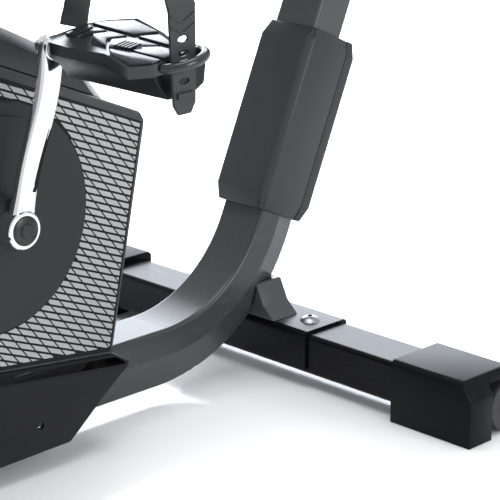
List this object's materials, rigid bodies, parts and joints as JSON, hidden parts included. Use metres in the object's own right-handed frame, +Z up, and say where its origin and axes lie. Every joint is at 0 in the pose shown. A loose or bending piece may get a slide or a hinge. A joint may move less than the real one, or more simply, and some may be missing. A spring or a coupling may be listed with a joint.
{
  "type": "recumbent exercise bike",
  "caption": "Compact recumbent exercise bike: low bent frame, leaning seat post, sliding seat with back rest, cased crank and flywheel drive, console mast.",
  "frame": {"origin": "on the floor, under the middle of the whole machine's bounding box", "axes": "+X forward, towards the console; +Y to the rider's left; +Z up"},
  "size_m": [1.3631, 0.676, 1.1923],
  "materials": {
    "frame_paint": "satin dark grey powder coat",
    "bar_black": "satin black brushed finish",
    "steel": "bright zinc",
    "rail_aluminium": "satin anodised",
    "chrome": "polished",
    "casing": "satin dark grey",
    "casing_black": "satin black",
    "mesh_panel": "silver diamond print on black",
    "cap_plastic": "grained black",
    "grip_foam": "closed foam",
    "strap_rubber": "soft satin",
    "belt_rubber": "ribbed",
    "wheel_rubber": "hard",
    "cast_iron": "turned",
    "pulley_plastic": "glass-filled",
    "pedal_plastic": "glossy black",
    "lens": "smoked",
    "key_plastic": "silver",
    "upholstery": "black grained vinyl"
  },
  "bodies": {
    "frame": {"main_frame": "frame_paint", "drive_plates": "bar_black", "front_stabiliser": "bar_black", "front_cap_left": "cap_plastic", "front_cap_right": "cap_plastic", "rear_stabiliser": "bar_black", "rear_gusset": "bar_black", "rear_saddle": "bar_black", "rear_cap_left": "cap_plastic", "rear_cap_right": "cap_plastic", "wheel_axles": "steel", "stabiliser_bolts": "chrome", "seat_post": "frame_paint", "post_cover_front": "casing", "post_cover_rear": "casing", "seat_rail": "rail_aluminium", "shroud_left": "casing", "shroud_right": "casing", "chin_left": "casing", "chin_right": "casing", "side_panels": "mesh_panel", "top_cover": "casing", "console_mast": "frame_paint", "handlebar": "frame_paint", "handlebar_grips": "grip_foam", "console_back": "casing_black", "console_front": "casing", "display_lens": "lens", "bearings": "steel", "drive_belt": "belt_rubber", "servo_motor": "casing_black"},
    "crank": {"crank_axle": "steel", "drive_pulley": "pulley_plastic", "crank_arm_left": "chrome", "crank_arm_right": "chrome", "crank_disc_left": "casing_black", "crank_disc_right": "casing_black", "crank_caps": "casing_black", "pedal_spindles": "steel"},
    "left_pedal": {"pedal_left": "pedal_plastic", "pedal_strap_left": "strap_rubber"},
    "right_pedal": {"pedal_right": "pedal_plastic", "pedal_strap_right": "strap_rubber"},
    "flywheel": {"flywheel": "cast_iron", "flywheel_shaft": "steel"},
    "brake": {"magnet_bracket": "bar_black"},
    "left_wheel": {"transport_wheel_left": "wheel_rubber"},
    "right_wheel": {"transport_wheel_right": "wheel_rubber"},
    "left_leveller": {"leveller_left": "wheel_rubber"},
    "right_leveller": {"leveller_right": "wheel_rubber"},
    "seat": {"seat_frame": "frame_paint", "seat_pan": "casing_black", "seat_cushion": "upholstery", "back_shell": "casing_black", "back_cushion": "upholstery", "seat_handle": "frame_paint", "seat_grips": "grip_foam"},
    "seat_lever": {"seat_lever": "bar_black"},
    "key_up": {"key_up": "key_plastic"},
    "key_down": {"key_down": "key_plastic"}
  },
  "joints": [
    {"name": "flywheel_spin", "type": "hinge", "parent": "frame", "child": "flywheel", "pos_m": [0.5075, 0, 0.243], "axis": [0, 1, 0], "continuous": true},
    {"name": "crank_spin", "type": "hinge", "parent": "frame", "child": "crank", "pos_m": [0.3075, 0, 0.269], "axis": [0, 1, 0], "continuous": true},
    {"name": "left_pedal_spin", "type": "hinge", "parent": "crank", "child": "left_pedal", "pos_m": [0.27215, 0.19, 0.43528], "axis": [0, 1, 0], "continuous": true},
    {"name": "right_pedal_spin", "type": "hinge", "parent": "crank", "child": "right_pedal", "pos_m": [0.34285, -0.19, 0.10272], "axis": [0, 1, 0], "continuous": true},
    {"name": "brake_swing", "type": "hinge", "parent": "frame", "child": "brake", "pos_m": [0.4475, 0, 0.395], "axis": [0, 1, 0], "range_deg": [-5, 0]},
    {"name": "left_wheel_spin", "type": "hinge", "parent": "frame", "child": "left_wheel", "pos_m": [0.6355, 0.327, 0.028], "axis": [0, 1, 0], "continuous": true},
    {"name": "right_wheel_spin", "type": "hinge", "parent": "frame", "child": "right_wheel", "pos_m": [0.6355, -0.327, 0.028], "axis": [0, 1, 0], "continuous": true},
    {"name": "left_leveller_turn", "type": "hinge", "parent": "frame", "child": "left_leveller", "pos_m": [-0.1445, 0.327, 0.028], "axis": [0, 1, 0], "range_deg": [-90, 90]},
    {"name": "right_leveller_turn", "type": "hinge", "parent": "frame", "child": "right_leveller", "pos_m": [-0.1445, -0.327, 0.028], "axis": [0, 1, 0], "range_deg": [-90, 90]},
    {"name": "seat_slide", "type": "slide", "parent": "frame", "child": "seat", "axis": [0.9986, 0, -0.0523], "range_m": [-0.09, 0.1]},
    {"name": "seat_lever_lift", "type": "hinge", "parent": "seat", "child": "seat_lever", "pos_m": [-0.22311, -0.1, 0.5139], "axis": [0, 1, 0], "range_deg": [-12, 0], "stiffness_Nm_per_rad": 6, "springref_deg": 8.59},
    {"name": "key_up_press", "type": "slide", "parent": "frame", "child": "key_up", "axis": [0.8192, 0, -0.5736], "range_m": [0, 0.0015], "stiffness_N_per_m": 400, "springref_m": -0.0005},
    {"name": "key_down_press", "type": "slide", "parent": "frame", "child": "key_down", "axis": [0.8192, 0, -0.5736], "range_m": [0, 0.0015], "stiffness_N_per_m": 400, "springref_m": -0.0005}
  ],
  "couplings": [
    {"joint": "crank_spin", "follows": "flywheel_spin", "ratio": 0.22222}
  ]
}
